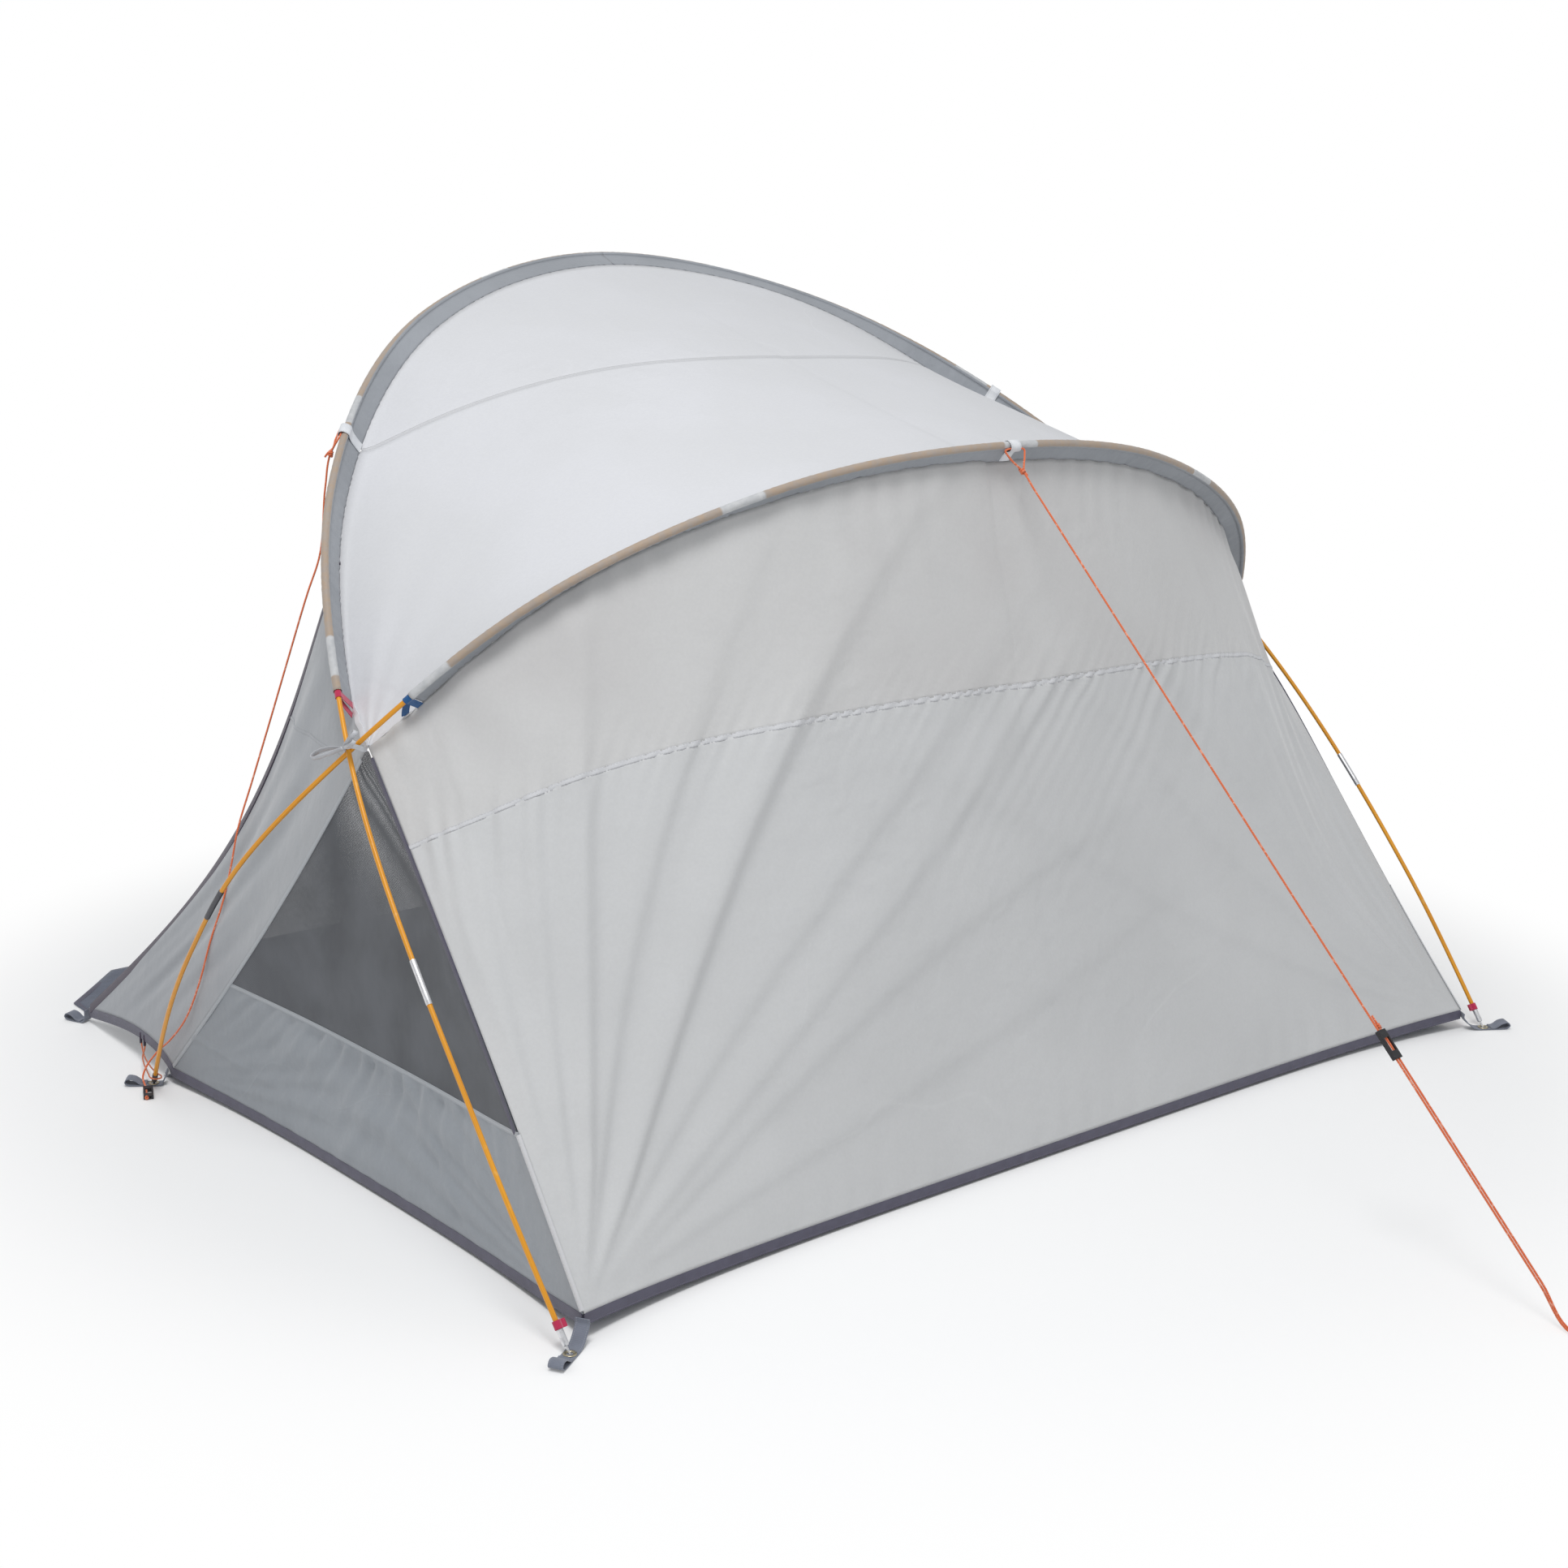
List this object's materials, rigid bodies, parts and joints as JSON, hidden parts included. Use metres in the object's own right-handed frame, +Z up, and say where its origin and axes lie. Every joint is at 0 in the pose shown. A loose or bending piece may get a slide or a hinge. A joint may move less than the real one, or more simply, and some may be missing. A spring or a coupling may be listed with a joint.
{
  "type": "beach shelter",
  "caption": "Open-fronted beach shelter: crossed arch poles in sleeves, cloth roof and rear wall, mesh side windows, wings, a groundsheet with a folding flap, and guy lines.",
  "frame": {"origin": "on the ground under the middle of the fabric and poles, on the groundsheet's underside", "axes": "+Z up; the entrance faces -Y and the rear wall +Y; X runs across, with +X the side shown nearest in the picture"},
  "size_m": [2.0752, 2.4402, 1.2874],
  "materials": {
    "floor_cloth": "coated woven groundsheet",
    "roof_cloth": "thin coated polyester, matte",
    "wall_cloth": "thin coated polyester, matte",
    "window_mesh": "fine dark net",
    "sleeve_cloth": "thin woven cloth over the poles",
    "binding_tape": "woven tape",
    "dark_binding": "woven tape, dark",
    "fibreglass": "pultruded fibreglass with metal ferrules and tips",
    "shock_cord": "braided elastic",
    "grey_webbing": "woven webbing with a metal eyelet",
    "white_strap": "white woven strap",
    "crimson_ribbon": "crimson woven ribbon",
    "blue_ribbon": "blue woven ribbon",
    "silver_ribbon": "silver grey ribbon, slight sheen",
    "guy_cord": "braided orange cord",
    "runner_plastic": "moulded black plastic"
  },
  "bodies": {
    "shelter": {"groundsheet": "floor_cloth", "roof_front_panel": "roof_cloth", "roof_rear_panel": "roof_cloth", "rear_wall_upper": "wall_cloth", "rear_wall_lower": "wall_cloth", "wing_left": "wall_cloth", "wing_right": "wall_cloth", "side_band_left": "wall_cloth", "side_band_right": "wall_cloth", "mesh_window_left": "window_mesh", "mesh_window_right": "window_mesh", "front_sleeve_left": "sleeve_cloth", "front_sleeve_right": "sleeve_cloth", "rear_sleeve": "sleeve_cloth", "rear_hem_binding": "binding_tape", "side_hem_binding_left": "binding_tape", "side_hem_binding_right": "binding_tape", "wing_front_binding_left": "dark_binding", "wing_front_binding_right": "dark_binding", "front_pole_segment_1": "fibreglass", "front_pole_segment_2": "fibreglass", "front_pole_segment_3": "fibreglass", "front_pole_segment_4": "fibreglass", "front_pole_segment_5": "fibreglass", "front_pole_segment_6": "fibreglass", "front_pole_segment_7": "fibreglass", "front_pole_segment_8": "fibreglass", "front_pole_segment_9": "fibreglass", "rear_pole_segment_1": "fibreglass", "rear_pole_segment_2": "fibreglass", "rear_pole_segment_3": "fibreglass", "rear_pole_segment_4": "fibreglass", "rear_pole_segment_5": "fibreglass", "rear_pole_segment_6": "fibreglass", "rear_pole_segment_7": "fibreglass", "rear_pole_segment_8": "fibreglass", "front_shock_cord": "shock_cord", "rear_shock_cord": "shock_cord", "rear_corner_webbing_left": "grey_webbing", "rear_corner_webbing_right": "grey_webbing", "side_corner_webbing_left": "grey_webbing", "side_corner_webbing_right": "grey_webbing", "wing_peg_loop_left": "grey_webbing", "wing_peg_loop_right": "grey_webbing", "front_guy_strap_left": "white_strap", "front_guy_strap_right": "white_strap", "rear_guy_strap": "white_strap", "front_pole_loop_left": "crimson_ribbon", "front_pole_loop_right": "crimson_ribbon", "rear_pole_loop_left": "blue_ribbon", "rear_pole_loop_right": "blue_ribbon", "crossing_tie_left": "silver_ribbon", "crossing_tie_right": "silver_ribbon", "rear_guy_line": "guy_cord", "front_guy_line": "guy_cord", "wing_tie_cord": "guy_cord", "front_guy_runner": "runner_plastic"},
    "flap": {"front_flap": "floor_cloth"},
    "rear_tensioner": {"rear_guy_runner": "runner_plastic", "rear_guy_stopper": "guy_cord"}
  },
  "joints": [
    {"name": "front_flap_fold", "type": "hinge", "parent": "shelter", "child": "flap", "pos_m": [0, -0.42, 0.0015], "axis": [-1, 0, 0], "range_deg": [0, 90]},
    {"name": "rear_tensioner_slide", "type": "slide", "parent": "shelter", "child": "rear_tensioner", "axis": [-0.0313, 0.6979, -0.7155], "range_m": [0, 0.15]}
  ]
}
